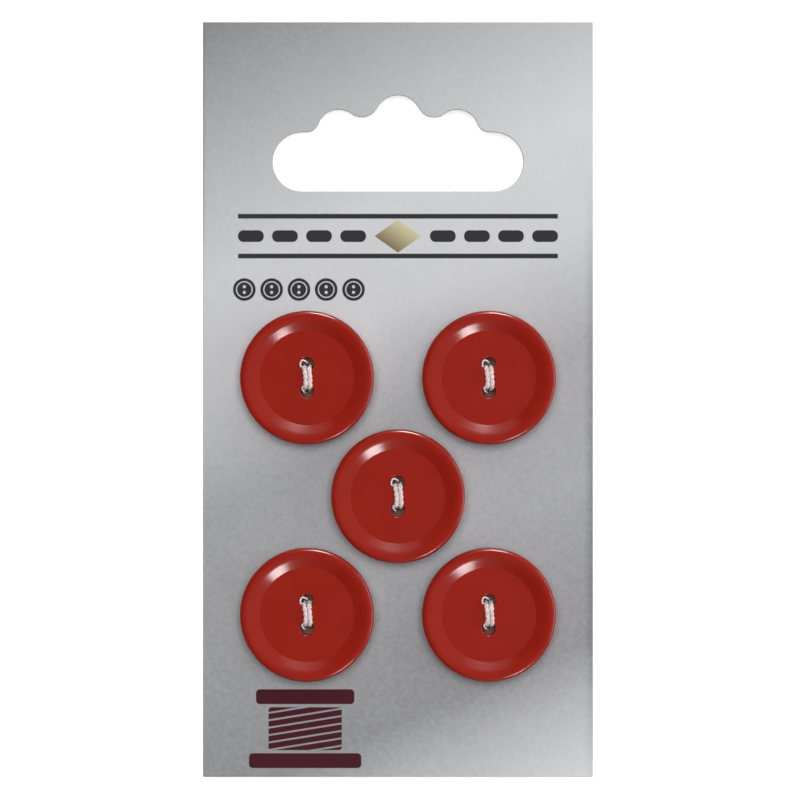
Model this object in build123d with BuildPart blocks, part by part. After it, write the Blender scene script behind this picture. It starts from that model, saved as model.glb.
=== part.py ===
from build123d import *
from math import cos, hypot, pi, sqrt
import os

os.makedirs("parts", exist_ok=True)

# A shop card with five sewn-on buttons, lying on its back: +X runs across the
# card, +Y runs up it to the hang slot and +Z points out of the printed face.
# The origin is under the middle of the card, on the surface that the knots of
# the five sewing threads rest on. All sizes are in millimetres.

# Paperboard
card_width = 50.0
card_height = 96.8
card_thickness = 0.5

# Hang slot: a long body with round ends, a lobe in its middle that centres the
# card on a peg and two side lobes for a double hook, joined by tangent arcs
slot_drop = 17.9            # top edge of the card to the middle of the slot's body
slot_radius = 3.8           # round ends, and half the height of the body
centre_lobe_radius = 3.0
centre_lobe_rise = 5.55     # centre of the lobe above the middle of the body
side_lobe_radius = 2.8
side_lobe_rise = 3.9
lobe_gap = 1.8              # between the centre lobe and a side lobe
tongue_radius = 2.2         # tip of the board between two lobes
shoulder_radius = 1.6       # board beside a side lobe
shoulder_flat = 0.56        # straight top edge from the shoulder to the round end

# Buttons: a flat recessed disc inside a sloping ring with a raised rim
button_radius = 8.55
disc_thickness = 1.9
rim_height = 2.54
dish_inset = 2.56           # edge of the button to the edge of the flat disc
crown_inset = 1.18          # edge of the button to the inner edge of the rim's top
crown_width = 0.86          # flat top of the rim
edge_fall = 0.3             # height of the bevel outside the rim's top
foot_bevel = 0.55           # bevel round the flat back
hole_spacing = 3.48
hole_clearance = 0.2        # round the pair of strands in a button's hole

# Places of the buttons: two above, one in the middle and two below
column_gap = 6.1            # between the two buttons of a row
button_gap = 1.95           # between the middle button and the four others
bottom_margin = 12.4        # card's lower edge to the lower buttons

# Sewing thread, laid twice over each button and tied behind the card
thread_width = 0.6
lay_gap = 0.04              # between neighbouring strands, and to what they lie on
hole_lean = 0.235           # strands stand off the middle of a hole, towards the bridge
needle_clearance = 0.05     # round the pair of strands in the board
bend = 0.3                  # length that a square turn of the thread is cut back
tail_reach = 5.0            # from the knot's middle to the end of a tail, along Y
tail_drift = 2.4            # how far a tail wanders sideways

# Values that follow from the sizes above
thread_radius = thread_width / 2
strand_pitch = thread_width + lay_gap
strand_offset = strand_pitch / 2
stitch_half = hole_spacing / 2 - hole_lean
hole_radius = hypot(strand_offset, hole_lean) + thread_radius + hole_clearance
needle_hole_radius = (strand_offset + thread_radius + needle_clearance) / cos(pi / 6)

# Levels of the knot, counted down from the back of the board: the strand that
# crosses there, then the knot, whose strands lie one above the other in pairs
twist_radius = strand_offset / cos(pi / 8)   # chords of an eighth turn still clear
cross_drop = lay_gap + thread_radius
knot_drop = cross_drop + strand_pitch + strand_offset
card_bottom = knot_drop + twist_radius + thread_radius
card_top = card_bottom + card_thickness
cross_level = card_bottom - cross_drop
knot_level = card_bottom - knot_drop
knot_high = knot_level + strand_offset
knot_low = knot_level - strand_offset
over_level = card_top + disc_thickness + lay_gap + thread_radius

column = button_radius + column_gap / 2
row_pitch = sqrt((2 * button_radius + button_gap) ** 2 - column ** 2)
bottom_row = bottom_margin + button_radius - card_height / 2
slot_level = card_height / 2 - slot_drop

button_places = {
    "top_left": (-column, bottom_row + 2 * row_pitch),
    "top_right": (column, bottom_row + 2 * row_pitch),
    "middle": (0, bottom_row + row_pitch),
    "bottom_left": (-column, bottom_row),
    "bottom_right": (column, bottom_row),
}


def tangent_centre(first, first_radius, second, second_radius, radius):
    """Centre, above the line of two circles, of an arc that touches both from outside."""
    across = second - first
    distance = across.length
    reach_first = first_radius + radius
    reach_second = second_radius + radius
    along = (reach_first ** 2 - reach_second ** 2 + distance ** 2) / (2 * distance)
    rise = sqrt(reach_first ** 2 - along ** 2)
    unit = across.normalized()
    return first + unit * along + Vector(-unit.Y, unit.X) * rise


def slot_arcs():
    """Draw the right half of the hang slot's outline, from its top to the middle of its foot."""
    middle = Vector(0, slot_level)
    centre_lobe = middle + Vector(0, centre_lobe_rise)
    side_lobe = middle + Vector(centre_lobe_radius + lobe_gap + side_lobe_radius, side_lobe_rise)
    tongue = tangent_centre(
        centre_lobe, centre_lobe_radius, side_lobe, side_lobe_radius, tongue_radius
    )
    shoulder_rise = slot_radius + shoulder_radius
    shoulder_run = sqrt(
        (side_lobe_radius + shoulder_radius) ** 2 - (shoulder_rise - side_lobe_rise) ** 2
    )
    shoulder = Vector(side_lobe.X + shoulder_run, slot_level + shoulder_rise)
    end = Vector(shoulder.X + shoulder_flat, slot_level)

    lobe_top = centre_lobe + Vector(0, centre_lobe_radius)
    tongue_in = centre_lobe + (tongue - centre_lobe).normalized() * centre_lobe_radius
    tongue_tip = tongue - Vector(0, tongue_radius)
    tongue_out = side_lobe + (tongue - side_lobe).normalized() * side_lobe_radius
    side_top = side_lobe + Vector(0, side_lobe_radius)
    shoulder_in = side_lobe + (shoulder - side_lobe).normalized() * side_lobe_radius
    shoulder_foot = shoulder - Vector(0, shoulder_radius)
    end_top = end + Vector(0, slot_radius)
    end_foot = end - Vector(0, slot_radius)

    RadiusArc(lobe_top, tongue_in, centre_lobe_radius)
    ThreePointArc(tongue_in, tongue_tip, tongue_out)
    ThreePointArc(tongue_out, side_top, shoulder_in)
    RadiusArc(shoulder_in, shoulder_foot, -shoulder_radius)
    Line(shoulder_foot, end_top)
    ThreePointArc(end_top, end + Vector(slot_radius, 0), end_foot)
    Line(end_foot, middle - Vector(0, slot_radius))


def make_card():
    """Printed board with its hang slot and a pair of pierced holes behind each button."""
    with BuildPart() as card:
        with BuildSketch(Plane.XY.offset(card_bottom)):
            Rectangle(card_width, card_height)
            with BuildSketch(mode=Mode.SUBTRACT):
                with BuildLine():
                    slot_arcs()
                    mirror(about=Plane.YZ)
                make_face()
            for x, y in button_places.values():
                with Locations((x, y - stitch_half), (x, y + stitch_half)):
                    RegularPolygon(needle_hole_radius, 6, mode=Mode.SUBTRACT)
        extrude(amount=card_thickness)
    return card.part


def make_button(x, y):
    """Two-hole button with a dished face, sitting flat on the board."""
    crown_outer = button_radius - crown_inset + crown_width
    with BuildPart() as button:
        with BuildSketch(Plane((x, y, card_top), x_dir=(1, 0, 0), z_dir=(0, -1, 0))):
            with BuildLine():
                Polyline(
                    (0, 0),
                    (button_radius - foot_bevel, 0),
                    (button_radius, foot_bevel),
                    (button_radius, rim_height - edge_fall),
                    (crown_outer, rim_height),
                    (button_radius - crown_inset, rim_height),
                    (button_radius - dish_inset, disc_thickness),
                    (0, disc_thickness),
                    close=True,
                )
            make_face()
        revolve(axis=Axis((x, y, card_top), (0, 0, 1)))
        with Locations(
            (x, y - hole_spacing / 2, card_top + disc_thickness),
            (x, y + hole_spacing / 2, card_top + disc_thickness),
        ):
            Hole(hole_radius)
    return button.part


def knot_bight():
    """Loop of one thread end in a reef knot, from its standing side to its tail.

    It is high where it passes over the other end's loop, low where the two legs
    cross in the middle, and high again at its own loop. The twist of two legs
    round each other is drawn as eighth turns.
    """
    step = strand_pitch * 0.42
    axis = strand_offset + twist_radius
    outer = axis + twist_radius
    eighth = twist_radius * cos(pi / 4)
    turn = 2 * step + strand_pitch
    leg = [
        (-strand_offset, -turn + step, strand_offset),
        (-strand_offset, -2 * step, 0),
        (eighth - axis, -step, -eighth),
        (-axis, 0, -twist_radius),
        (-eighth - axis, step, -eighth),
        (-outer, 2 * step, 0),
        (step - outer, turn - step / 2, strand_offset),
        (2 * step - outer, turn, strand_offset),
    ]
    return leg + [(-x, y, z) for x, y, z in reversed(leg)], turn


def thread_points():
    """Whole route of one thread about the middle of its button, from tail to tail."""
    bight, turn = knot_bight()
    first = [(x, y, knot_level + z) for x, y, z in bight]
    second = [(-x, -y, knot_level - z) for x, y, z in bight]
    left = -strand_offset
    right = strand_offset
    clear = turn + strand_pitch

    tail_down = [
        (right + tail_drift, -tail_reach, knot_low),
        (right + tail_drift / 2, -0.8 * tail_reach, knot_low),
        (right + tail_drift / 8, -clear - strand_pitch, knot_low),
        (right, -clear, knot_level),
    ]
    left_strand = [
        (left, bend - stitch_half, knot_high),
        (left, -stitch_half, knot_high + bend),
        (left, -stitch_half, over_level - bend),
        (left, bend - stitch_half, over_level),
        (left, stitch_half - bend, over_level),
        (left, stitch_half, over_level - bend),
    ]
    back_crossing = [
        (left, stitch_half, cross_level + bend),
        (left, stitch_half - bend, cross_level),
        (right, bend - stitch_half, cross_level),
        (right, -stitch_half, cross_level + bend),
    ]
    right_strand = [
        (right, -stitch_half, over_level - bend),
        (right, bend - stitch_half, over_level),
        (right, stitch_half - bend, over_level),
        (right, stitch_half, over_level - bend),
        (right, stitch_half, cross_level),
        (right, clear, knot_high),
        (right, clear, knot_level),
        (right, clear - bend, knot_low),
    ]
    tail_up = [
        (left, clear, knot_low),
        (left - tail_drift / 8, clear + strand_pitch, knot_low),
        (left - tail_drift / 2, 0.8 * tail_reach, knot_low),
        (left - tail_drift, tail_reach, knot_low),
    ]
    return (
        tail_down
        + first[::-1]
        + left_strand
        + back_crossing
        + right_strand
        + second
        + tail_up
    )


def make_thread(x, y):
    """One length of thread, laid twice through button and board and tied in a reef knot."""
    with BuildPart() as thread:
        with BuildLine() as route:
            Polyline(*[(x + u, y + v, w) for u, v, w in thread_points()])
        with BuildSketch(Plane(origin=route.line @ 0, z_dir=route.line % 0)):
            RegularPolygon(thread_radius, 6)
        sweep(transition=Transition.RIGHT)
    return thread.part


def save(part, name):
    """Label a finished piece and write it."""
    part.label = name
    export_step(part, f"parts/{name}.step")


save(make_card(), "card")
for place, (place_x, place_y) in button_places.items():
    save(make_button(place_x, place_y), f"button_{place}")
    save(make_thread(place_x, place_y), f"thread_{place}")
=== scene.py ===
# %% [markdown]
# # A card of sewn-on buttons
#
# A haberdasher sells buttons on a card: a printed board with a scalloped hang
# slot, and on it five red two-hole buttons, each sewn on with a doubled thread
# and knotted behind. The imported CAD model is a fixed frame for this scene, so
# every piece is made in metres, at the CAD model's own place. +X runs across
# the card, +Y runs up it to the hang slot and +Z comes out of the printed face.

# %% Load the frame
from math import cos, pi, radians, sin, tan

import bpy
from mathutils import Matrix, Vector, noise


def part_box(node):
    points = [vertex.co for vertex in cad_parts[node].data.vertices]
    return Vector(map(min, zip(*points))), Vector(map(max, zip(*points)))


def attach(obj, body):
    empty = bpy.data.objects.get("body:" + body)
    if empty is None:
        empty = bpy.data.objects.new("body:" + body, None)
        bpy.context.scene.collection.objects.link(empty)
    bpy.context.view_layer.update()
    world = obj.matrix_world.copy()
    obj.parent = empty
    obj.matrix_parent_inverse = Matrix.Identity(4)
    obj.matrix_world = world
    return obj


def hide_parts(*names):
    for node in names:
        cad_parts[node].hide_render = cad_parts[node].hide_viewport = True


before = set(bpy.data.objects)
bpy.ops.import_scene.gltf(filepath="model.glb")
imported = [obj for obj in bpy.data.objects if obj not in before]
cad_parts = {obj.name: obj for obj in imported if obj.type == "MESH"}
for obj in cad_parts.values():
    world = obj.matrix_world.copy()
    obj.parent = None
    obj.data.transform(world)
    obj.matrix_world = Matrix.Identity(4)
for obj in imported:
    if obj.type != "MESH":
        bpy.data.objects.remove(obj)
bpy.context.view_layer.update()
scene = bpy.context.scene
scene.view_settings.view_transform = "Standard"

# %% [markdown]
# ## Sizes
#
# The thread's route is worked out from a few sizes, the same ones that the CAD
# source uses: how thick the thread is, how close two strands lie, and where
# the needle went through the board. Levels are counted down from the back of
# the board, where one strand crosses and the knot hangs below it.

# %% Sizes of thread, board and buttons
mm = 0.001
places = ["top_left", "top_right", "middle", "bottom_left", "bottom_right"]
hole_spacing = 3.48 * mm
thread_width = 0.6 * mm
lay_gap = 0.04 * mm
hole_lean = 0.235 * mm
bend = 0.3 * mm
tail_reach = 5.0 * mm
tail_drift = 2.4 * mm

thread_radius = thread_width / 2
strand_pitch = thread_width + lay_gap
strand_offset = strand_pitch / 2
stitch_half = hole_spacing / 2 - hole_lean
twist_radius = strand_offset / cos(pi / 8)

card_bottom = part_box("card")[0].z
card_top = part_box("card")[1].z
disc_thickness = 1.9 * mm
cross_level = card_bottom - lay_gap - thread_radius
knot_level = cross_level - strand_pitch - strand_offset
knot_high = knot_level + strand_offset
knot_low = knot_level - strand_offset
over_level = card_top + disc_thickness + lay_gap + thread_radius


def button_centre(place):
    """Middle of a button, on the printed face."""
    low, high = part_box(f"button_{place}")
    return Vector(((low.x + high.x) / 2, (low.y + high.y) / 2, card_top))


print("printed face at", round(card_top / mm, 3), "mm, knots' middle at", round(knot_level / mm, 3))

# %% [markdown]
# ## Camera
#
# The card was photographed from straight above. A 120 mm lens from about a
# third of a metre shows it as wide in the frame as it is in the photograph,
# with almost no perspective, which is how such shop pictures are taken.

# %% Camera straight above the card
view_distance = 341.9 * mm
view_right = 0.26 * mm
view_down = 0.06 * mm

bpy.ops.object.camera_add(
    location=(view_right, -view_down, card_top + view_distance), rotation=(0, 0, 0)
)
camera = bpy.context.object
camera.name = "camera"
camera.data.lens = 120
camera.data.sensor_width = 36
camera.data.clip_start = 10 * mm
camera.data.clip_end = 20
scene.camera = camera
print("camera at", [round(value / mm, 2) for value in camera.location], "mm")

# %% [markdown]
# ## Route of a thread
#
# One length of thread comes out of the knot, goes up through the board and the
# button, over the bridge between the two holes and down again, crosses behind
# the board, does the same once more beside itself, and ends in the other half
# of the reef knot. The points are those of the CAD source. Only the two
# strands over the bridge are moved: they are pulled tight against its two
# sides, pressed together on top of it, and lean a little to the right towards
# their lower end, as in the photograph.

# %% Points of the reef knot and of the stitches
bridge_grip = 0.28 * mm
lean_high = 0.03 * mm
lean_low = 0.18 * mm
squeeze = 0.87


def knot_bight():
    """Loop of one thread end in a reef knot, from its standing side to its tail."""
    step = strand_pitch * 0.42
    axis = strand_offset + twist_radius
    outer = axis + twist_radius
    eighth = twist_radius * cos(pi / 4)
    turn = 2 * step + strand_pitch
    leg = [
        (-strand_offset, -turn + step, strand_offset),
        (-strand_offset, -2 * step, 0),
        (eighth - axis, -step, -eighth),
        (-axis, 0, -twist_radius),
        (-eighth - axis, step, -eighth),
        (-outer, 2 * step, 0),
        (step - outer, turn - step / 2, strand_offset),
        (2 * step - outer, turn, strand_offset),
    ]
    return leg + [(-x, y, z) for x, y, z in reversed(leg)], turn


def stitch_over(side):
    """One strand that comes up through a hole, lies over the bridge and goes down again."""
    tight_half = stitch_half - bridge_grip
    return [
        (side, -tight_half, over_level - bend),
        (squeeze * side + lean_low, bend - tight_half, over_level),
        (squeeze * side + lean_high, tight_half - bend, over_level),
        (side, tight_half, over_level - bend),
    ]


def thread_points():
    """Whole route of one thread about the middle of its button, from tail to tail."""
    bight, turn = knot_bight()
    first = [(x, y, knot_level + z) for x, y, z in bight]
    second = [(-x, -y, knot_level - z) for x, y, z in bight]
    left = -strand_offset
    right = strand_offset
    clear = turn + strand_pitch

    tail_down = [
        (right + tail_drift, -tail_reach, knot_low),
        (right + tail_drift / 2, -0.8 * tail_reach, knot_low),
        (right + tail_drift / 8, -clear - strand_pitch, knot_low),
        (right, -clear, knot_level),
    ]
    up_to_button = [
        (left, bend - stitch_half, knot_high),
        (left, -stitch_half, knot_high + bend),
    ]
    back_crossing = [
        (left, stitch_half, cross_level + bend),
        (left, stitch_half - bend, cross_level),
        (right, bend - stitch_half, cross_level),
        (right, -stitch_half, cross_level + bend),
    ]
    down_to_knot = [
        (right, stitch_half, cross_level),
        (right, clear, knot_high),
        (right, clear, knot_level),
        (right, clear - bend, knot_low),
    ]
    tail_up = [
        (left, clear, knot_low),
        (left - tail_drift / 8, clear + strand_pitch, knot_low),
        (left - tail_drift / 2, 0.8 * tail_reach, knot_low),
        (left - tail_drift, tail_reach, knot_low),
    ]
    laid = tail_down + first[::-1] + up_to_button + stitch_over(left)
    return laid + back_crossing + stitch_over(right) + down_to_knot + second + tail_up


print(len(thread_points()), "points in a thread's route")

# %% [markdown]
# ## Smooth line of a thread
#
# A thread bends smoothly, so the points only pull on it: they are the control
# points of a NURBS spline. Blender turns the spline into a chain of vertices,
# and these are read again at equal steps, because the plies that wind round
# the line need even steps to wind evenly.

# %% Smooth line through the route
ply_step = 0.07 * mm


def smooth_line(points):
    """Vertices along the NURBS spline that has these control points."""
    curve = bpy.data.curves.new("thread_line", "CURVE")
    curve.dimensions = "3D"
    curve.resolution_u = 16
    spline = curve.splines.new("NURBS")
    spline.points.add(len(points) - 1)
    for control, place in zip(spline.points, points):
        control.co = (*place, 1)
    spline.order_u = 3
    spline.use_endpoint_u = True
    guide = bpy.data.objects.new("thread_line", curve)
    mesh = bpy.data.meshes.new_from_object(guide)
    line = [vertex.co.copy() for vertex in mesh.vertices]
    bpy.data.objects.remove(guide)
    bpy.data.curves.remove(curve)
    bpy.data.meshes.remove(mesh)
    return line


def even_steps(line, step):
    """The same line, read again at equal steps along its length."""
    steps = [line[0]]
    left_over = step
    for start, end in zip(line, line[1:]):
        reach = (end - start).length
        while left_over <= reach and reach > 0:
            steps.append(start.lerp(end, left_over / reach))
            left_over += step
        left_over -= reach
    return steps


thread_line = even_steps(smooth_line(thread_points()), ply_step)
thread_length = ply_step * (len(thread_line) - 1)
print("a thread is", round(thread_length / mm, 1), "mm long from tail to tail")

# %% [markdown]
# ## Two plies
#
# Sewing thread is two thin yarns, the plies, twisted round each other. A plain
# tube looks like wire, even from far off, so each ply is a tube of its own
# that winds round the thread's line. Spun yarn is never quite even: slow
# noise makes it swell and thin, and hurries and slows its turns. Close to the
# cut ends the plies come apart and get thinner, as scissors leave them.

# %% Wind the plies
ply_radius = 0.19 * mm
ply_offset = 0.12 * mm
ply_turn = 1.3 * mm
swell_reach = 0.55 * mm       # along the thread, over which its noise changes
noise_gap = 7.3               # between the lines along which two plies read the noise
uneven_turn = 0.7             # how far the turns hurry or lag, in radians
uneven_thick = 0.12           # how much a ply swells or thins
fray_reach = 0.9 * mm         # length of a frayed end
fray_thin = 0.45              # how much thinner a ply is at its very end
fray_spread = 0.9             # how much further out it lies there


def uneven(number, seed):
    """Slow noise from -1 to 1 along a thread, at one of its steps."""
    return noise.noise(Vector((number * ply_step / swell_reach, noise_gap * seed, 0.5)))


def line_frames(line):
    """Direction and side of a line at each of its points, with the side carried along untwisted."""
    directions = [(after - before).normalized() for before, after in zip(line, line[1:])]
    directions.append(directions[-1])
    side = directions[0].orthogonal().normalized()
    frames = []
    for before, after in zip(directions[:1] + directions, directions):
        side = before.rotation_difference(after) @ side
        frames.append((after, side))
    return frames


thread_frames = line_frames(thread_line)


def around_line(number, angle, reach):
    """Place beside the thread's line at one of its steps."""
    ahead, side = thread_frames[number]
    outward = side * cos(angle) + ahead.cross(side) * sin(angle)
    return thread_line[number] + outward * reach


def wind_ply(seed, start_angle):
    """Points and thickness factors of one ply that winds round the thread's line."""
    wound = []
    last = len(thread_line) - 1
    for number in range(len(thread_line)):
        to_end = min(number, last - number) * ply_step
        fray = max(0.0, 1 - to_end / fray_reach)
        turned = 2 * pi * number * ply_step / ply_turn
        angle = start_angle + turned + uneven_turn * uneven(number, seed)
        thick = (1 + uneven_thick * uneven(number, seed + 3)) * (1 - fray_thin * fray * fray)
        place = around_line(number, angle, ply_offset * (1 + fray_spread * fray))
        place.z = max(place.z, ply_radius * thick)
        wound.append((place, thick))
    return wound


print("thread is about", round(2 * (ply_offset + ply_radius) / mm, 2), "mm thick")

# %% [markdown]
# ## Stray fibres
#
# Cotton and spun polyester are fuzzy: ends of single fibres stand off the
# thread and soften its outline. Each is a very thin tube that leaves the
# thread sideways and bends along it. They are placed by noise with a fixed
# seed, so the thread is the same each time the script runs.

# %% Fibres that stand off the thread
fibre_count = 90
fibre_steps = 5
fibre_thin = 0.045            # thickness of a fibre, as a share of a ply's
fibre_taper = 0.15            # share of that which it loses at each step
fibre_reach = 0.16 * mm       # how far the longest stands off
fibre_rise = 0.38             # turns its path outwards at each step, in radians
fibre_sweep = 0.16            # carries it round the thread at each step, in radians
fibre_ground = 0.02 * mm      # lowest level of a fibre


def stray_fibre(number, seed):
    """Points and thickness factors of one fibre end."""
    place_noise = noise.cell(Vector((number, seed, 0.0)))
    angle = 2 * pi * noise.cell(Vector((number, seed, 1.0)))
    size = 0.45 + 0.55 * noise.cell(Vector((number, seed, 2.0)))
    start = int((0.02 + 0.94 * place_noise) * len(thread_line))
    fibre = []
    for step in range(fibre_steps):
        along = min(start + round(1.5 * step * size), len(thread_line) - 1)
        reach = ply_offset + 0.6 * ply_radius + size * fibre_reach * sin(fibre_rise * step)
        place = around_line(along, angle + fibre_sweep * step, reach)
        place.z = max(place.z, fibre_ground)
        fibre.append((place, fibre_thin * (1 - fibre_taper * step)))
    return fibre


print("fibres stand off by up to", round(fibre_reach / mm, 2), "mm")

# %% [markdown]
# ## Loose plies
#
# At the upper left of each hole a single thin ply has come loose from the
# thread. In the top hole it bows out to the hole's edge before it dives in, and
# in the bottom hole it slips down beside the strands. Both catch the light
# against the dark hole.

# %% Plies that stand off in the holes
loose_radius = 0.11 * mm
twist_shift = 0.9             # between the twists of two threads, in radians
disc_top = card_top + disc_thickness
loose_plies = [
    [
        (-0.5, 1.5, -0.9), (-0.64, 1.4, -0.3), (-0.82, 1.4, 0.06), (-0.86, 1.72, 0.12),
        (-0.78, 2.08, 0.12), (-0.54, 2.28, 0.1), (-0.26, 2.16, 0.0), (0.0, 1.98, -0.2),
        (0.04, 1.86, -0.9),
    ],
    [
        (-0.4, -1.1, 0.16), (-0.64, -1.28, 0.12), (-0.6, -1.52, 0.0),
        (-0.38, -1.82, -0.25), (-0.2, -1.92, -0.9),
    ],
]


def loose_ply(points):
    """Points and thickness factors of one loose ply, given in mm about the disc's face."""
    placed = [(x * mm, y * mm, disc_top + z * mm) for x, y, z in points]
    factor = loose_radius / ply_radius
    return [(place, factor) for place in even_steps(smooth_line(placed), ply_step)]


def thread_curve(name, centre, seed):
    """Curve object of one thread about the middle of its button, with all its plies and fibres."""
    curve = bpy.data.curves.new(name, "CURVE")
    curve.dimensions = "3D"
    curve.bevel_depth = ply_radius
    curve.bevel_resolution = 2
    curve.use_fill_caps = True
    start_angle = twist_shift * seed
    yarns = [wind_ply(seed, start_angle), wind_ply(seed + 0.5, start_angle + pi)]
    yarns += [loose_ply(points) for points in loose_plies]
    yarns += [stray_fibre(number, seed) for number in range(fibre_count)]
    for points in yarns:
        spline = curve.splines.new("POLY")
        spline.points.add(len(points) - 1)
        for control, (place, thick) in zip(spline.points, points):
            control.co = (place.x + centre.x, place.y + centre.y, place.z, 1)
            control.radius = thick
    thread = bpy.data.objects.new(name, curve)
    scene.collection.objects.link(thread)
    return thread


print(len(loose_plies), "loose plies at each button")


# %% Turn the curves into meshes
def only(piece):
    """Makes this piece the active and the only selected one."""
    bpy.ops.object.select_all(action="DESELECT")
    piece.select_set(True)
    bpy.context.view_layer.objects.active = piece


def merge_doubles(piece, reach):
    """Joins vertices that lie at one place, which closes seams and poles."""
    only(piece)
    bpy.ops.object.mode_set(mode="EDIT")
    bpy.ops.mesh.select_all(action="SELECT")
    bpy.ops.mesh.remove_doubles(threshold=reach)
    bpy.ops.object.mode_set(mode="OBJECT")


threads = {}
for number, place in enumerate(places):
    thread = thread_curve(f"sewing_thread_{place}", button_centre(place), number + 1)
    only(thread)
    bpy.ops.object.convert(target="MESH")
    merge_doubles(thread, reach=0.0005 * mm)
    only(thread)
    bpy.ops.object.shade_smooth()
    threads[place] = thread
print(len(thread.data.polygons), "faces in each thread")

# %% [markdown]
# ## Board
#
# The CAD solid already has the board's outline and slot, so its mesh is
# copied. It comes as loose triangles: its doubles are merged and the flat
# faces joined up again. A punch presses the board's edges a little round, so
# the edges of the outline and of the slot get a narrow bevel. The needle holes
# stay sharp.

# %% Copy the board and round its cut edges
cut_round = 0.09 * mm
needle_area = 3 * mm          # round a button's middle; edges inside it stay sharp

only(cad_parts["card"])
board = bpy.data.objects.new("board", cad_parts["card"].data.copy())
scene.collection.objects.link(board)
merge_doubles(board, reach=0.001 * mm)
bpy.ops.object.mode_set(mode="EDIT")
bpy.ops.mesh.dissolve_limited(angle_limit=radians(0.5))
bpy.ops.mesh.select_all(action="DESELECT")
bpy.ops.mesh.select_mode(type="EDGE")
bpy.ops.mesh.edges_select_sharp(sharpness=radians(60))
bpy.ops.object.mode_set(mode="OBJECT")


def on_cut_edge(edge):
    """True for an edge that runs along the face, away from the needle holes."""
    start, end = (board.data.vertices[number].co for number in edge.vertices)
    middle = (start + end) / 2
    nearest = min((middle.xy - button_centre(place).xy).length for place in places)
    is_level = abs(start.z - end.z) < 0.01 * mm
    return is_level and nearest > needle_area


for edge in board.data.edges:
    edge.select = edge.select and on_cut_edge(edge)
bpy.ops.object.mode_set(mode="EDIT")
bpy.ops.mesh.bevel(offset=cut_round, segments=2, affect="EDGES")
bpy.ops.object.mode_set(mode="OBJECT")
print("cut edges rounded by", round(cut_round / mm, 2), "mm")

# %% [markdown]
# Board closes up round a thread once the needle is out, so that board shows
# through the button's holes and not the table below; painted shade darkens it
# there. Each needle hole is pressed together round a line near the bridge,
# where the two strands pass.

# %% Press the needle holes together
needle_reach = 1.0 * mm       # round a hole's middle, wide enough for all its corners
closed_height = 0.6           # share of the hole's height that stays open
towards_bridge = 0.2 * mm     # from the hole's middle to the line that it closes on


def press_hole(middle, bridge_side):
    """Presses one needle hole of the board together along Y."""
    bpy.ops.mesh.select_mode(type="VERT")
    bpy.ops.mesh.select_all(action="DESELECT")
    bpy.ops.object.mode_set(mode="OBJECT")
    for vertex in board.data.vertices:
        vertex.select = (vertex.co.xy - middle.xy).length < needle_reach
    bpy.ops.object.mode_set(mode="EDIT")
    still = middle + Vector((0, bridge_side * towards_bridge, 0))
    bpy.ops.transform.resize(value=(1, closed_height, 1), center_override=still)


bpy.ops.object.mode_set(mode="EDIT")
for place in places:
    for side in (-1, 1):
        press_hole(button_centre(place) + Vector((0, side * stitch_half, 0)), -side)
bpy.ops.object.mode_set(mode="OBJECT")
print("needle holes pressed to", round(100 * closed_height), "percent of their height")

# %% [markdown]
# A smooth normal that is shared between a large flat face and the first step
# of a rounding tilts the light on the whole flat face. Marking the line
# between the two as sharp keeps the flat face flat.


# %% Smooth the roundings and keep the flats flat
def shade_round(piece, angle):
    """Smooth shading where faces meet at less than the angle, except round level faces."""
    only(piece)
    bpy.ops.object.shade_smooth_by_angle(angle=radians(angle))
    level = [face for face in piece.data.polygons if abs(face.normal.z) > 0.9999]
    outline = {key for face in level for key in face.edge_keys}
    for edge in piece.data.edges:
        edge.use_edge_sharp = edge.use_edge_sharp or edge.key in outline


shade_round(board, angle=32)
print("board has", len(board.data.polygons), "faces")

# %% [markdown]
# ## Button
#
# Such a button is turned from a cast rod: everything on it but the holes is
# round about one axis. So half of its section is drawn edge by edge and spun.
# From the middle outwards it has a flat disc, a straight cone that climbs to
# the rim, a gently rounded crown, a tight outer edge, an upright side and a
# foot that curves in to the flat back.

# %% Section of the button
button_radius = 8.55 * mm
dish_radius = 6.04 * mm       # of the flat disc
cone_tilt = radians(24)
crown_start = 6.98 * mm       # where the cone goes over into the crown
crown_radius = 2.5 * mm
foot_level = 1.25 * mm        # where the foot starts to curve in
foot_inset = 0.85 * mm        # from the side to the edge of the flat back


def arc(centre, radius_across, radius_up, start, end, steps):
    """Points on an arc; its angles are counted from straight up, towards the outside."""
    angles = [start + (end - start) * step / steps for step in range(steps + 1)]
    return [
        Vector((centre[0] + radius_across * sin(angle), 0, centre[1] + radius_up * cos(angle)))
        for angle in angles
    ]


def button_section():
    """Half section from the middle of the face to the middle of the back."""
    cone_top = disc_thickness + (crown_start - dish_radius) * tan(cone_tilt)
    crest = crown_start + crown_radius * sin(cone_tilt)
    crown_centre = (crest, cone_top - crown_radius * cos(cone_tilt))
    edge_radius = button_radius - crest
    edge_centre = (crest, crown_centre[1] + crown_radius - edge_radius)
    foot_centre = (button_radius - foot_inset, foot_level)
    return (
        [Vector((0, 0, disc_thickness)), Vector((dish_radius, 0, disc_thickness))]
        + arc(crown_centre, crown_radius, crown_radius, -cone_tilt, 0, 8)
        + arc(edge_centre, edge_radius, edge_radius, 0, pi / 2, 10)[1:]
        + arc(foot_centre, foot_inset, foot_level, pi / 2, pi, 9)
        + [Vector((0, 0, 0))]
    )


section = button_section()
print("button is", round(2 * max(p.x for p in section) / mm, 2), "mm across and",
      round(max(p.z for p in section) / mm, 2), "mm high")


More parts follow.
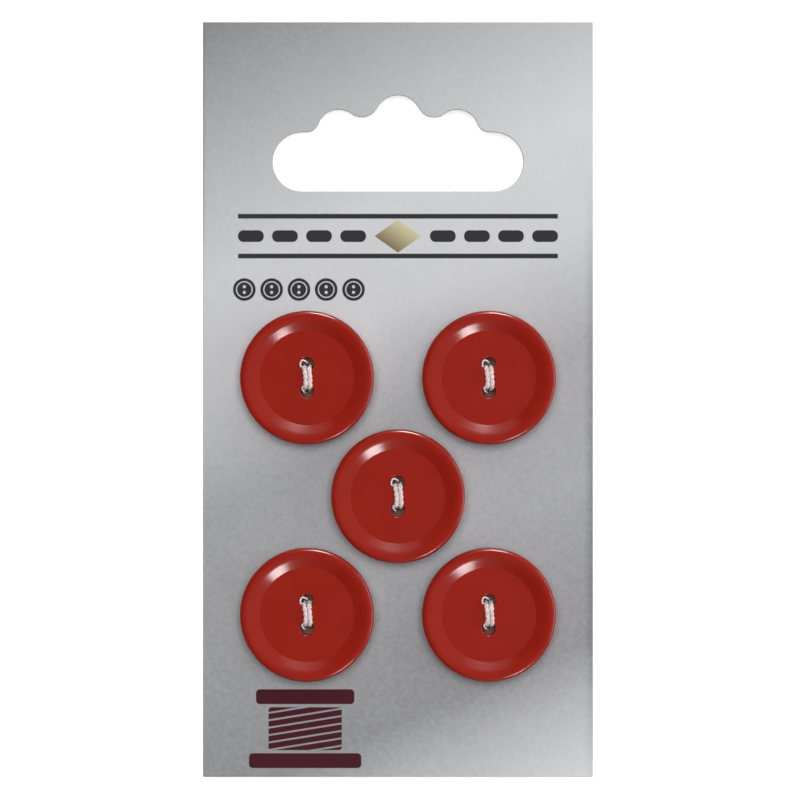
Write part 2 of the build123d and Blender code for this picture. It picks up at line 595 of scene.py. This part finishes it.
# %% Draw the section and spin it
def draw_chain(name, points):
    """A chain of edges, drawn by extruding one vertex from point to point."""
    bpy.ops.object.select_all(action="DESELECT")
    bpy.ops.mesh.primitive_plane_add(size=mm, location=(0, 0, 0))
    chain = bpy.context.object
    chain.name = name
    bpy.ops.object.mode_set(mode="EDIT")
    bpy.ops.mesh.select_mode(type="VERT")
    bpy.ops.mesh.merge(type="CENTER")
    bpy.ops.transform.translate(value=points[0])
    for before, after in zip(points, points[1:]):
        bpy.ops.mesh.extrude_region_move(TRANSFORM_OT_translate={"value": after - before})
    bpy.ops.object.mode_set(mode="OBJECT")
    return chain


def spin_chain(chain, steps):
    """Spins a section about the upright axis and closes the shape."""
    only(chain)
    bpy.ops.object.mode_set(mode="EDIT")
    bpy.ops.mesh.select_all(action="SELECT")
    bpy.ops.mesh.spin(steps=steps, angle=2 * pi, center=(0, 0, 0), axis=(0, 0, 1))
    bpy.ops.object.mode_set(mode="OBJECT")
    merge_doubles(chain, reach=0.001 * mm)
    bpy.ops.object.mode_set(mode="EDIT")
    bpy.ops.mesh.normals_make_consistent(inside=False)
    bpy.ops.mesh.dissolve_limited(angle_limit=radians(0.3))
    bpy.ops.object.mode_set(mode="OBJECT")
    return chain


button = spin_chain(draw_chain("button", section), steps=144)
print("spun button has", len(button.data.polygons), "faces")

# %% [markdown]
# ## Sewing holes
#
# The holes are drilled with a bit that also rounds their upper edge, which is
# what tumbling does to real buttons. Without it the edge looks cut out of
# paper, and with it a thin line of the lamps shows there. The bit is drawn and
# spun like the button, and cut away by a Boolean modifier.

# %% Drill the holes
bore_radius = 0.88 * mm
hole_round = 0.12 * mm
tip_depth = 0.3 * mm          # of the bit, below the button's flat back
tip_flare = 0.4 * mm          # the tip is wider than the bore and bevels its lower edge
tip_end = 0.1 * mm            # level at which the flare ends


def drill_section():
    """Half section of the bit, from its tip under the button to its shank above it."""
    edge_centre = Vector((bore_radius + hole_round, 0, disc_thickness - hole_round))
    turns = [pi / 2 * (1 - step / 6) for step in range(7)]
    rounding = [edge_centre + Vector((-sin(turn), 0, cos(turn))) * hole_round for turn in turns]
    return [
        Vector((0, 0, -tip_depth)),
        Vector((bore_radius + tip_flare, 0, -tip_depth)),
        Vector((bore_radius, 0, tip_end)),
        *rounding,
        Vector((bore_radius + hole_round, 0, disc_thickness + mm)),
        Vector((0, 0, disc_thickness + mm)),
    ]


for side in (-1, 1):
    drill = spin_chain(draw_chain("drill", drill_section()), steps=64)
    bpy.ops.transform.translate(value=(0, side * hole_spacing / 2, 0))
    only(button)
    cut = button.modifiers.new("drill", "BOOLEAN")
    cut.operation = "DIFFERENCE"
    cut.solver = "EXACT"
    cut.object = drill
    bpy.ops.object.modifier_apply(modifier=cut.name)
    bpy.data.objects.remove(drill)
shade_round(button, angle=19)
print("drilled button has", len(button.data.polygons), "faces")

# %% [markdown]
# The button gets a plain UV map from straight above, centred on its middle, so
# that its finish can follow the turning marks on every copy. Then it is copied
# to its five places.

# %% Map the button from above and copy it
uv_span = 20 * mm

while button.data.uv_layers:
    button.data.uv_layers.remove(button.data.uv_layers[0])
from_above = button.data.uv_layers.new(name="from_above")
for loop in button.data.loops:
    corner = button.data.vertices[loop.vertex_index].co
    from_above.data[loop.index].uv = (0.5 + corner.x / uv_span, 0.5 + corner.y / uv_span)


def placed_copy(source, name, shift):
    """A copy with a mesh of its own, moved in the mesh so that the object stays at the origin."""
    mesh = source.data.copy()
    mesh.transform(Matrix.Translation(shift))
    copy = bpy.data.objects.new(name, mesh)
    scene.collection.objects.link(copy)
    return copy


buttons = {p: placed_copy(button, f"red_button_{p}", button_centre(p)) for p in places}
bpy.data.objects.remove(button)
print("five buttons of", len(buttons["middle"].data.polygons), "faces each")

# %% [markdown]
# ## Shader maths in plain expressions
#
# A finish is a small program that runs at each point of a surface. Written as
# nodes one by one it is hard to read, so two small classes hide the wiring.
# Wire stands for one value that changes over the surface, and the usual signs
# such as + and * add Math nodes. Finish is the material, and its add method
# makes every other node.

# %% Wire and Finish
class Wire:
    """Output of a node in a finish, with arithmetic."""

    def __init__(self, finish, socket):
        self.finish = finish
        self.socket = socket

    def __add__(self, other):
        return self.finish.maths("ADD", self, other)

    def __radd__(self, other):
        return self.finish.maths("ADD", other, self)

    def __sub__(self, other):
        return self.finish.maths("SUBTRACT", self, other)

    def __rsub__(self, other):
        return self.finish.maths("SUBTRACT", other, self)

    def __mul__(self, other):
        return self.finish.maths("MULTIPLY", self, other)

    def __rmul__(self, other):
        return self.finish.maths("MULTIPLY", other, self)

    def __truediv__(self, other):
        return self.finish.maths("DIVIDE", self, other)

    def __pow__(self, other):
        return self.finish.maths("POWER", self, other)

    def __abs__(self):
        return self.finish.maths("ABSOLUTE", self)

    def sine(self):
        return self.finish.maths("SINE", self)

    def clamped(self):
        """The value, kept from 0 to 1."""
        return self.finish.add(
            "ShaderNodeMath", {"operation": "ADD", "use_clamp": True}, {0: self, 1: 0.0}
        )

    def least(self, other):
        """The smaller of two values."""
        return self.finish.maths("MINIMUM", self, other)

    def most(self, other):
        """The larger of two values."""
        return self.finish.maths("MAXIMUM", self, other)

    def repeated(self, pitch):
        """The value, wrapped so that it runs from -pitch/2 to pitch/2 again and again."""
        return self.finish.maths("WRAP", self, pitch / 2, -pitch / 2)


class Finish:
    """A material, or the world, under construction."""

    def __init__(self, name, library=bpy.data.materials):
        self.owner = library.new(name)
        self.owner.use_nodes = True
        self.tree = self.owner.node_tree
        self.tree.nodes.clear()

    def add(self, kind, settings=None, sockets=None, output=0):
        """Adds a node: first its settings, then the values or links of its sockets."""
        node = self.tree.nodes.new(kind)
        for name, value in (settings or {}).items():
            if name == "stops":
                set_stops(node.color_ramp, value)
            else:
                setattr(node, name, value)
        for key, value in (sockets or {}).items():
            if isinstance(value, Wire):
                self.tree.links.new(value.socket, node.inputs[key])
            else:
                node.inputs[key].default_value = value
        return Wire(self, node.outputs[output]) if node.outputs else None

    def maths(self, operation, *values):
        """Adds a Math node."""
        return self.add("ShaderNodeMath", {"operation": operation}, dict(enumerate(values)))

    def mix(self, amount, under, over):
        """Colour that goes from under to over as amount goes from 0 to 1."""
        sockets = {0: amount, 6: under, 7: over}
        return self.add("ShaderNodeMix", {"data_type": "RGBA"}, sockets, output=2)

    def shaded(self, colour, factor):
        """A colour made lighter or darker by a factor that changes over the surface."""
        return self.add("ShaderNodeVectorMath", {"operation": "SCALE"}, {0: colour, 3: factor})

    def places(self, kind="Object"):
        """Coordinates of a point on the surface."""
        return self.add("ShaderNodeTexCoord", output=["Generated", "Normal", "UV", "Object"].index(kind))

    def split(self, vector):
        """The three numbers of a vector."""
        node = self.add("ShaderNodeSeparateXYZ", sockets={0: vector}).socket.node
        return [Wire(self, socket) for socket in node.outputs]

    def millimetres(self):
        """Place on the surface as its x, y and z in mm."""
        scaled = self.add(
            "ShaderNodeVectorMath", {"operation": "SCALE"}, {0: self.places(), 3: 1 / mm}
        )
        return self.split(scaled)

    def noise(self, vector, scale, detail=2.0, roughness=0.5):
        """Noise from 0 to 1."""
        sockets = {"Vector": vector, "Scale": scale, "Detail": detail, "Roughness": roughness}
        return self.add("ShaderNodeTexNoise", None, sockets)

    def bump(self, height, distance, strength=1.0):
        """Surface direction, tilted by a height."""
        sockets = {"Height": height, "Distance": distance, "Strength": strength}
        return self.add("ShaderNodeBump", None, sockets)

    def surface(self, **sockets):
        """Ends the finish in a Principled shader and gives the material."""
        named = {key.replace("_", " "): value for key, value in sockets.items()}
        shader = self.add("ShaderNodeBsdfPrincipled", None, named)
        self.add("ShaderNodeOutputMaterial", None, {"Surface": shader})
        return self.owner


def set_stops(ramp, stops):
    """Gives a colour ramp these stops, each a position and a colour."""
    while len(ramp.elements) < len(stops):
        ramp.elements.new(0.5)
    for element, (position, colour) in zip(ramp.elements, stops):
        element.position = position
        element.color = colour


def paint(red, green, blue):
    """A colour as it is seen, from 0 to 255, turned into the linear light that shaders use."""
    shown = [value / 255 for value in (red, green, blue)]
    light = [v / 12.92 if v < 0.04045 else ((v + 0.055) / 1.055) ** 2.4 for v in shown]
    return (*light, 1.0)


print("paint(188, 188, 188) is", [round(value, 3) for value in paint(188, 188, 188)])

# %% [markdown]
# ## Printed face
#
# The print is a silver grey whose tone runs in a diagonal band: dark in the
# upper left corner, bright across the slot, mid grey behind the lower buttons,
# dark again and then bright in the lower right corner. A ramp along one
# diagonal gives it. Offset print breaks tones into fine dots, so a weak dot
# screen and a little mottling lie over it, and both fade out where the print is
# so light that hardly any ink is left. Shade is painted down the middle of the
# right edge, where the card's edge curls down, and a thin dark line runs down
# the top of the left edge.
#
# The print also has plain ornaments: a row of running stitches with a gold
# lozenge between two rules, a row of small button signs, and at the foot a
# maroon spool of thread. All their places and sizes are in mm.

# %% Silver print with its dot screen
ink = paint(48, 47, 50)
maroon = paint(69, 21, 32)
screen_pitch = 0.3
ink_soft = 0.05               # width of the soft outline of printed ink, in mm
band_rise = 0.436             # how far a band climbs for each mm to the right
band_half = 59.3              # how far the bands reach up and down the middle, in mm
face_level = 1.045            # brightness of the whole print
face_slope = 0.002            # how much brighter it gets for each mm to the right
# Painted shade down the middle of the right edge, where the card's edge curls down.
edge_shade_start = 23.8             # where the dark right edge begins
edge_shade_width = 1.2              # width over which it darkens
edge_shade_middle = -12.0           # where along the edge it is darkest
edge_shade_half = 42.0              # how far it reaches up and down from there
edge_shade_dark = 0.38
# A thin dark line down the top of the left edge.
line_limit = -24.8            # right limit of the dark line at the left
line_foot = 15.0              # its lower end
line_fade = 10.0              # length over which it fades in
line_dark = 0.28
mottle_depth = 0.42
dot_depth = 0.12
cloud_depth = 0.05


def inside(distance):
    """Mask that is 1 where a distance to an outline, in mm, is below nought."""
    return (0.5 - distance / ink_soft).clamped()


def tone(level):
    """Silver grey with a faint blue tint."""
    return paint(level - 0.5, level, level + 2.3)


def silver(finish, x, y):
    """Printed silver with its diagonal bands and painted shade at its right edge, as a colour."""
    along = (band_rise * x - y) * (0.5 / band_half) + 0.5
    bands = [
        (0.0, tone(138)), (0.17, tone(184)), (0.28, tone(204)), (0.4, tone(200)),
        (0.53, tone(163)), (0.67, tone(165)), (0.78, tone(150)), (0.85, tone(145)),
        (0.91, tone(178)), (1.0, tone(208)),
    ]
    band = finish.add("ShaderNodeValToRGB", {"stops": bands}, {"Fac": along})
    # Painted shade: the middle of the right edge is darkened where the card's edge curls down.
    edge_shade_reach = (1.0 - ((y - edge_shade_middle) / edge_shade_half) ** 2).clamped()
    right_edge_shade = ((x - edge_shade_start) / edge_shade_width).clamped() * edge_shade_reach
    left_edge = inside(x - line_limit) * ((y - line_foot) / line_fade).clamped()
    lit = face_level + face_slope * x - edge_shade_dark * right_edge_shade - line_dark * left_edge
    mottle = finish.noise(finish.places(), 1800, 3.0)
    cloud = finish.noise(finish.places(), 260, 2.0)
    dots = (x * (2 * pi / screen_pitch)).sine() * (y * (2 * pi / screen_pitch)).sine()
    inked = (1.5 - 2.0 * band).clamped() * (1.0 - 0.005 * y)
    grain = inked * (mottle_depth * (mottle - 0.5) + dot_depth * dots)
    return finish.shaded(band, lit + grain + cloud_depth * (cloud - 0.5))


# %% Sizes of the ornaments
row_level = 20.95             # of the stitches and the lozenge
stitch_pitch = 4.37
first_stitch = 5.75           # from the middle of the card
row_inner = 3.6               # the stitches stop here, beside the lozenge
row_outer = 20.9
upper_rule = 23.5
lower_rule = 18.4
lozenge_half = (3.0, 2.1)
sign_level = 14.1
sign_middle = -12.7           # of the row of button signs
sign_pitch = 3.5
sign_row_half = 8.7
sign_radius = 1.45
groove_radius = 1.0
spool_middle = -11.9
spool_head = -38.1
spool_body = -42.2
spool_foot = -46.3
turn_pitch = 0.95
turn_slant = 0.16
print("row of stitches is", 2 * row_outer, "mm long")


# %% Ornaments of the print
def bar(x, y, centre, half, rounding=0.0):
    """Distance to a rectangle; with a rounding its corners are round."""
    across = abs(x - centre[0]) - (half[0] - rounding)
    up = abs(y - centre[1]) - (half[1] - rounding)
    if rounding == 0:
        return across.most(up)
    corner = (across.most(0.0) ** 2 + up.most(0.0) ** 2) ** 0.5
    return corner - rounding


def stitches(x, y):
    """Row of running stitches between two rules, four on each side of the lozenge."""
    along = (abs(x) - first_stitch).repeated(stitch_pitch)
    dash = bar(along, y, centre=(0, row_level), half=(1.65, 0.75), rounding=0.7)
    dashes = inside(dash) * inside(row_inner - abs(x)) * inside(abs(x) - row_outer)
    upper = inside(bar(x, y, centre=(0, upper_rule), half=(20.5, 0.3)))
    lower = inside(bar(x, y, centre=(0, lower_rule), half=(20.5, 0.3)))
    return dashes.most(upper).most(lower)


def lozenge(x, y):
    """Lozenge in the middle of the stitches, and a painted sheen across it."""
    up = y - row_level
    distance = (abs(x) / lozenge_half[0] + abs(up) / lozenge_half[1] - 1.0) * 1.7
    return inside(distance), (x * 0.14 + up * 0.2 + 0.5).clamped()


def button_signs(x, y):
    """Five small discs with two holes each."""
    along = (x - sign_middle).repeated(sign_pitch)
    up = y - sign_level
    disc = (along ** 2 + up ** 2) ** 0.5
    hole = (along ** 2 + (abs(up) - 0.36) ** 2) ** 0.5
    row = inside(abs(x - sign_middle) - sign_row_half)
    groove = inside(abs(disc - groove_radius) - 0.07)
    return inside(disc - sign_radius) * inside(0.2 - hole) * (1 - groove) * row


def spool(x, y):
    """Spool of thread: two end plates and a body of slanting turns."""
    head = bar(x, y, centre=(spool_middle, spool_head), half=(6.3, 0.95), rounding=0.5)
    foot = bar(x, y, centre=(spool_middle, spool_foot), half=(7.2, 0.95), rounding=0.5)
    body = inside(bar(x, y, centre=(spool_middle, spool_body), half=(4.7, 2.75), rounding=0.4))
    turns = inside(abs((y - turn_slant * x).repeated(turn_pitch)) - 0.36)
    return inside(head.least(foot)).most(body * turns)


# %% Painted shade at the needle holes
# The board seen through the buttons' holes lies in shade and takes red light from the holes' walls, so a
# brown ring of painted shade stands for both.
hole_shade_colour = paint(132, 94, 84)
hole_shade_reach = 1.3            # radius of a ring of painted shade, in mm
hole_shade_soft = 0.2             # makes its outline five times as soft as that of printed ink


def to_needle_hole(x, y):
    """Distance to the middle of the nearest needle hole, in mm."""
    nearest = None
    for place in places:
        centre = button_centre(place)
        up = abs(y - centre.y / mm) - stitch_half / mm
        distance = ((x - centre.x / mm) ** 2 + up ** 2) ** 0.5
        nearest = distance if nearest is None else nearest.least(distance)
    return nearest


def painted_hole_shade(x, y):
    """Ring of painted shade round each needle hole, which shows through the buttons' holes."""
    return inside((to_needle_hole(x, y) - hole_shade_reach) * hole_shade_soft)


# %% Material of the printed face
def printed_face():
    """Silver print with its ornaments, a painted sheen on the gold and painted shade at the needle
    holes.
    """
    finish = Finish("printed_face")
    x, y, _ = finish.millimetres()
    colour = silver(finish, x, y)
    colour = finish.mix(stitches(x, y).most(button_signs(x, y)), colour, ink)
    gold_mask, turned = lozenge(x, y)
    # Painted sheen on the gold: darker to the lower left, lighter to the upper right.
    gold = finish.mix(turned, paint(112, 98, 66), paint(214, 204, 168))
    colour = finish.mix(gold_mask, colour, gold)
    colour = finish.mix(spool(x, y), colour, maroon)
    # Painted shade round the needle holes, seen through the buttons' holes.
    colour = finish.mix(painted_hole_shade(x, y), colour, hole_shade_colour)
    pores = finish.noise(finish.places(), 9000, 2.0)
    return finish.surface(
        Base_Color=colour,
        Roughness=0.42 + 0.1 * pores,
        Normal=finish.bump(pores, 0.004 * mm),
        Specular_IOR_Level=0.35,
    )


printed_finish = printed_face()
print(len(printed_finish.node_tree.nodes), "nodes in the printed face")

# %% [markdown]
# ## Bare board
#
# The back of the board is not printed: grey-white pulp with a few darker
# fibres. Its cut edge shows the same pulp pressed in layers, darker because
# the punch burnishes it.

# %% Materials of the back and of the cut edge
def bare_back():
    """Grey-white pulp with darker fibres."""
    finish = Finish("bare_back")
    here = finish.places()
    cloud = finish.noise(here, 420, 3.0)
    stretched = finish.add("ShaderNodeMapping", None, {"Vector": here, "Scale": (1.0, 0.25, 1.0)})
    fibres = finish.noise(stretched, 5200, 4.0, 0.65)
    specks = (8.0 * (fibres - 0.68)).clamped()
    pulp = finish.mix(cloud, paint(205, 203, 197), paint(222, 220, 214))
    colour = finish.mix(0.5 * specks, pulp, paint(150, 146, 138))
    return finish.surface(
        Base_Color=colour,
        Roughness=0.75 + 0.15 * fibres,
        Normal=finish.bump(fibres, 0.015 * mm),
        Specular_IOR_Level=0.25,
    )


def cut_edge():
    """Pulp in pressed layers, darker than the back."""
    finish = Finish("cut_edge")
    here = finish.places()
    layers = finish.add("ShaderNodeMapping", None, {"Vector": here, "Scale": (0.12, 0.12, 1.0)})
    plies = finish.noise(layers, 14000, 3.0, 0.6)
    crumbs = finish.noise(here, 6000, 3.0)
    colour = finish.mix(plies, paint(118, 117, 114), paint(178, 176, 170))
    return finish.surface(
        Base_Color=finish.shaded(colour, 0.85 + 0.3 * crumbs),
        Roughness=0.8 + 0.1 * crumbs,
        Normal=finish.bump(0.5 * (plies + crumbs), 0.02 * mm),
        Specular_IOR_Level=0.25,
    )


for finish in (printed_finish, bare_back(), cut_edge()):
    board.data.materials.append(finish)
while board.data.materials[0] is not printed_finish:
    board.data.materials.pop(index=0)
for face in board.data.polygons:
    if abs(face.normal.z) < 0.5:
        face.material_index = 2
    else:
        face.material_index = 0 if face.normal.z > 0 else 1
print("board's materials:", [material.name for material in board.data.materials])

# %% [markdown]
# ## Red plastic
#
# The buttons are cast polyester: deep red right through, turned and polished.
# Base colour carries a slow mottling, since the dye is never quite even. The
# gloss carries the fine detail: rings left by the turning tool and hairline
# scratches change the roughness a little, which only shows in the highlights.

# %% Material of the buttons
def red_plastic():
    """Deep red polished plastic with turning marks and hairline scratches."""
    finish = Finish("red_plastic")
    u, v, _ = finish.split(finish.places("UV"))
    across = (u - 0.5) * (uv_span / mm)
    up = (v - 0.5) * (uv_span / mm)
    radius = (across ** 2 + up ** 2) ** 0.5
    cloud = finish.noise(finish.places(), 330, 3.0)
    rings = finish.noise(finish.add("ShaderNodeCombineXYZ", None, {0: radius}), 26, 2.0)
    hairs = finish.add("ShaderNodeMapping", None, {
        "Vector": finish.places(), "Rotation": (0, 0, 0.7), "Scale": (1.0, 0.06, 1.0)
    })
    scratches = (14.0 * (finish.noise(hairs, 9000, 3.0) - 0.66)).clamped()
    colour = finish.mix(cloud, paint(144, 27, 15), paint(156, 35, 22))
    return finish.surface(
        Base_Color=colour,
        Roughness=0.15 + 0.05 * rings + 0.1 * scratches,
        Normal=finish.bump(rings, 0.0012 * mm, 0.6),
        Specular_IOR_Level=0.55,
    )


plastic = red_plastic()
print(len(plastic.node_tree.nodes), "nodes in the red plastic")

# %% [markdown]
# ## Thread
#
# Each ply is a yarn of many short fibres that lie at a slant to it. The tube's
# UV map runs round it and along it, so a noise that is stretched along a
# slanting line in UV gives the fibres, as colour and as bump. A sheen on top
# stands for the fine fuzz that catches light at the outline.

# %% Material of the threads
def spun_thread():
    """Pinkish white yarn with slanting fibres."""
    finish = Finish("spun_thread")
    around, along, _ = finish.split(finish.places("UV"))
    turns = along * (thread_length / ply_turn)
    slant = finish.add("ShaderNodeCombineXYZ", None, {0: (around + 1.6 * turns) * 5.0, 1: turns * 1.5})
    fibres = finish.noise(slant, 2.6, 4.0, 0.65)
    lumps = finish.noise(finish.places(), 2600, 2.0)
    tint = (4.0 * (finish.noise(finish.places(), 900, 1.0) - 0.5) + 0.5).clamped()
    dark = finish.mix(tint, paint(212, 186, 198), paint(218, 195, 189))
    colour = finish.mix(fibres, dark, paint(255, 242, 240))
    return finish.surface(
        Base_Color=finish.shaded(colour, 0.9 + 0.2 * lumps),
        Roughness=0.7 + 0.2 * fibres,
        Normal=finish.bump(fibres, 0.05 * mm),
        Specular_IOR_Level=0.3,
        Sheen_Weight=0.35,
        Sheen_Roughness=0.4,
    )


cotton = spun_thread()
for place in places:
    threads[place].data.materials.append(cotton)
    buttons[place].data.materials.append(plastic)
print(len(cotton.node_tree.nodes), "nodes in the spun thread")

# %% [markdown]
#
# Every piece rides on the frame's one body and stands for the CAD solid that
# it was made from, which is hidden.

# %% Ride and replace
def declare(piece, node):
    """Says which body a piece rides on, and hides the CAD solid that it stands for."""
    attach(piece, "root")
    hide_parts(node)


declare(board, "card")
for place in places:
    declare(buttons[place], f"button_{place}")
    declare(threads[place], f"thread_{place}")

# %% [markdown]
# ## Floor and surroundings
#
# The photograph has a pure white ground. The floor is pale and keeps the
# card's soft shadow; for camera rays only it also glows a little, so that it
# reads as white without any more light on the card. Right behind the needle
# holes it doesn't glow, or it would shine up through them. The world does
# the same: white to the camera, and a dim grey to everything that it lights,
# brighter towards the right and darker at the left and straight above. The
# buttons' sides would mirror the pale floor as a light line all round, where
# the photograph has a dark one, so reflections leave the floor out.

# %% White floor and world
floor_radius = 3              # in metres
floor_glow = 0.62
dark_spot = 1.5               # radius of the unlit spot behind a needle hole, in mm
overhead_level = 0.12         # of the world, straight above the card
world_slope = 0.58            # how fast it gets brighter towards the right
side_level = 0.35             # makes all sides a little brighter than the middle
world_least = 0.03            # level that it nowhere falls below
world_most = 0.3              # and that it nowhere goes above


def floor_finish():
    """Pale floor that glows for camera rays, except behind the needle holes."""
    finish = Finish("studio_floor")
    grain = finish.noise(finish.places(), 40, 3.0)
    colour = finish.mix(grain, (0.8, 0.8, 0.8, 1), (0.84, 0.84, 0.84, 1))
    pale = finish.add("ShaderNodeBsdfDiffuse", None, {"Color": colour})
    x, y, _ = finish.millimetres()
    beside = (to_needle_hole(x, y) - dark_spot).clamped()
    camera_ray = finish.add("ShaderNodeLightPath")
    glow = finish.add("ShaderNodeEmission", None, {"Strength": floor_glow * camera_ray * beside})
    both = finish.add("ShaderNodeAddShader", None, {0: pale, 1: glow})
    finish.add("ShaderNodeOutputMaterial", None, {"Surface": both})
    return finish.owner


def studio_world():
    """White to the camera, and a dim uneven grey to everything else."""
    finish = Finish("studio", bpy.data.worlds)
    x, y, _ = finish.split(finish.add("ShaderNodeTexCoord"))
    off_zenith = (x ** 2 + y ** 2) ** 0.5
    level = overhead_level + world_slope * (x + side_level * off_zenith)
    level = level.most(world_least).least(world_most)
    dim = finish.add("ShaderNodeBackground", None, {"Strength": level})
    white = finish.add("ShaderNodeBackground", None, {"Color": (1, 1, 1, 1), "Strength": 1.0})
    camera_ray = finish.add("ShaderNodeLightPath")
    seen = finish.add("ShaderNodeMixShader", None, {0: camera_ray, 1: dim, 2: white})
    finish.add("ShaderNodeOutputWorld", None, {"Surface": seen})
    return finish.owner


bpy.ops.object.select_all(action="DESELECT")
bpy.ops.mesh.primitive_circle_add(
    vertices=64, radius=floor_radius, fill_type="NGON", location=(0, 0, 0)
)
floor = bpy.context.object
floor.name = "floor"
floor.data.materials.append(floor_finish())
floor.visible_glossy = False
scene.world = studio_world()
print("floor is", round(floor.dimensions.x, 1), "m across")

# %% [markdown]
# ## Lamps
#
# Shadows and highlights in the photograph say where its lamps stood. Every
# button has a narrow dark shadow all round, a little wider below it, so most
# light comes from one soft box close to straight up. Seen in the flat discs it
# would wash them out, and the camera hid it there, so reflections leave it
# out. The dished ring of each button tilts by 24 degrees, so the bright streak
# on its upper left mirrors a small lamp 48 degrees away from straight up,
# towards the lower right; it is left out of the even light, or each button
# would throw a second shadow. So is a bright low lamp beyond the card's top
# edge, which shows as a thin line on the outer edge of each rim. Two weak
# panels beyond the top edge give the soft sheen at the bottom of each ring, and
# a low one at the right makes the left half of the rings a little lighter than
# the right half.

# %% Softboxes
watts_per_glow = 4.0          # for each square metre of a lamp


def softbox(
    name, azimuth, from_zenith, size, glow,
    mirrored=True, lighting=True, distance=1.4, shape="ELLIPSE",
):
    """Area lamp whose place and size are in degrees, as seen from the card."""
    turn = radians(azimuth)
    tilt = radians(from_zenith)
    direction = Vector((sin(tilt) * cos(turn), sin(tilt) * sin(turn), cos(tilt)))
    bpy.ops.object.light_add(type="AREA", location=direction * distance)
    lamp = bpy.context.object
    lamp.name = name
    lamp.rotation_mode = "QUATERNION"
    lamp.rotation_quaternion = direction.to_track_quat("Z", "Y")
    lamp.data.shape = shape
    lamp.data.size = 2 * distance * tan(radians(size[0] / 2))
    lamp.data.size_y = 2 * distance * tan(radians(size[1] / 2))
    lamp.data.energy = watts_per_glow * glow * lamp.data.size * lamp.data.size_y
    lamp.visible_camera = False
    lamp.visible_glossy = mirrored
    lamp.visible_diffuse = lighting
    lamp.data.cycles.use_multiple_importance_sampling = mirrored
    return lamp


softbox("overhead_box", 90, 11.5, (48, 38), 3.6, mirrored=False, shape="RECTANGLE")
softbox("streak_lamp", 297, 48, (14.5, 11), 12.0, lighting=False)
softbox("rim_lamp", 80, 62, (20, 24), 14.0, lighting=False)
softbox("top_panel", 87, 46, (48, 28), 0.2)
softbox("top_card", 82, 48, (26, 18), 0.15, distance=1.3)
softbox("right_panel", 5, 74, (60, 20), 2.3, shape="RECTANGLE")
